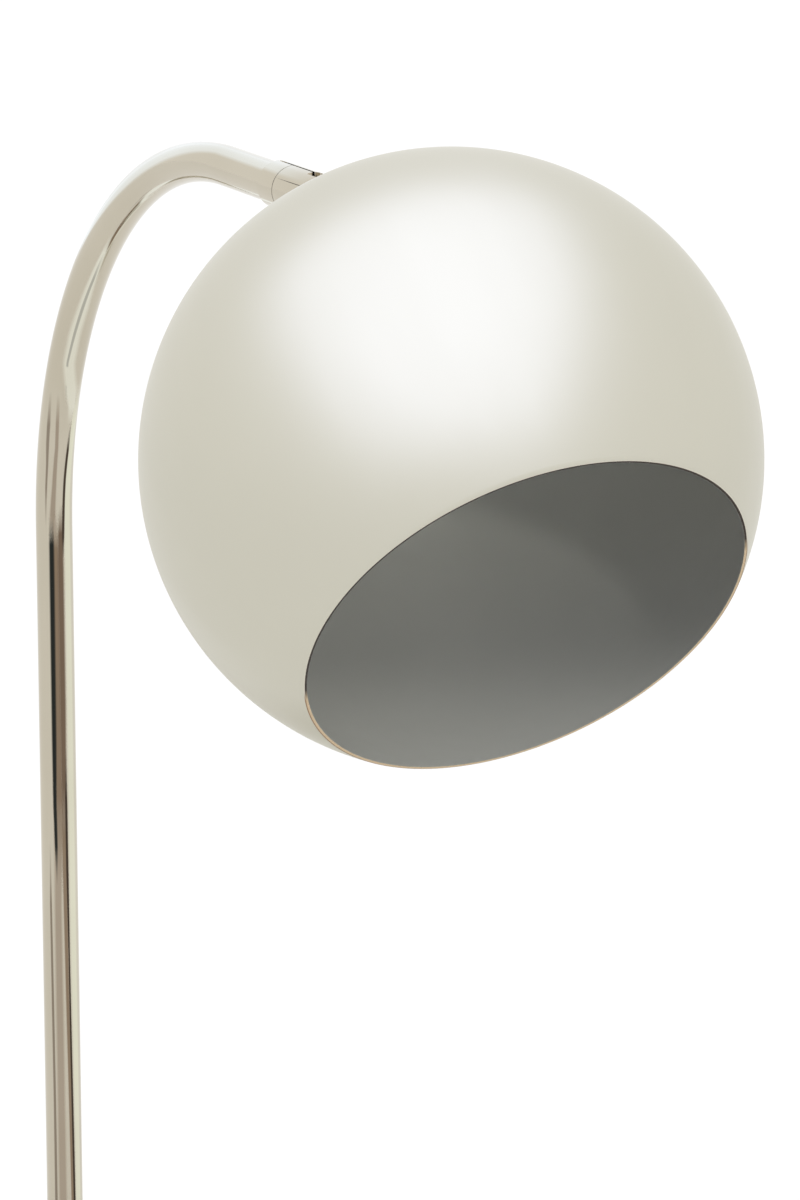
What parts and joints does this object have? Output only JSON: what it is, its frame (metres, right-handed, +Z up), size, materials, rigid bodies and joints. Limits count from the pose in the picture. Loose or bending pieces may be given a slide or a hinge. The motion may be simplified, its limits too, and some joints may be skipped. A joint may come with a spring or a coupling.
{
  "type": "arched desk lamp",
  "caption": "Desk lamp with a weighted round base, one arched tube and a globe shade cut flat at its mouth, on a knuckle that swivels and tilts.",
  "frame": {"origin": "centre of the base's underside, on the pole's axis", "axes": "+Z up along the pole, +X from the pole towards the shade"},
  "size_m": [0.5319, 0.2, 0.5676],
  "materials": {
    "satin_nickel": "satin",
    "polished_nickel": "polished",
    "cast_weight": "rough",
    "pad_felt": "matte",
    "grommet_rubber": "matte",
    "zinc_steel": "satin",
    "brass_plain": "satin",
    "washer_plastic": "matte",
    "holder_plastic": "matte",
    "bulb_cap_metal": "satin",
    "bulb_plastic": "matte",
    "bulb_opal": "satin"
  },
  "bodies": {
    "stand": {"base_pad": "pad_felt", "base_cover": "satin_nickel", "base_weight": "cast_weight", "cord_grommet": "grommet_rubber", "base_washer": "zinc_steel", "base_nut": "zinc_steel", "base_rod": "zinc_steel", "pole_insert": "brass_plain", "foot_ring": "polished_nickel", "arm_tube": "polished_nickel", "neck_collar": "polished_nickel", "swivel_stop_pin": "zinc_steel"},
    "knuckle": {"swivel_fork": "polished_nickel", "swivel_wave_washer": "zinc_steel", "swivel_retainer": "zinc_steel", "tilt_screw": "zinc_steel", "tilt_nut": "zinc_steel", "tilt_washers": "washer_plastic"},
    "head": {"tilt_tongue": "polished_nickel", "shade_rod": "zinc_steel", "shade_shell": "satin_nickel", "shade_washer": "zinc_steel", "shade_nut": "zinc_steel", "holder_cap": "holder_plastic", "holder_body": "holder_plastic", "holder_sleeve": "brass_plain", "holder_contact": "brass_plain", "bulb_cap": "bulb_cap_metal", "bulb_housing": "bulb_plastic", "bulb_globe": "bulb_opal"}
  },
  "joints": [
    {"name": "head_swivel", "type": "hinge", "parent": "stand", "child": "knuckle", "pos_m": [0.24106, 0, 0.54176], "axis": [0.9986, 0, -0.0523], "range_deg": [-80, 80]},
    {"name": "head_tilt", "type": "hinge", "parent": "knuckle", "child": "head", "pos_m": [0.24106, 0, 0.54176], "axis": [0, 1, 0], "range_deg": [-80, 48]}
  ]
}
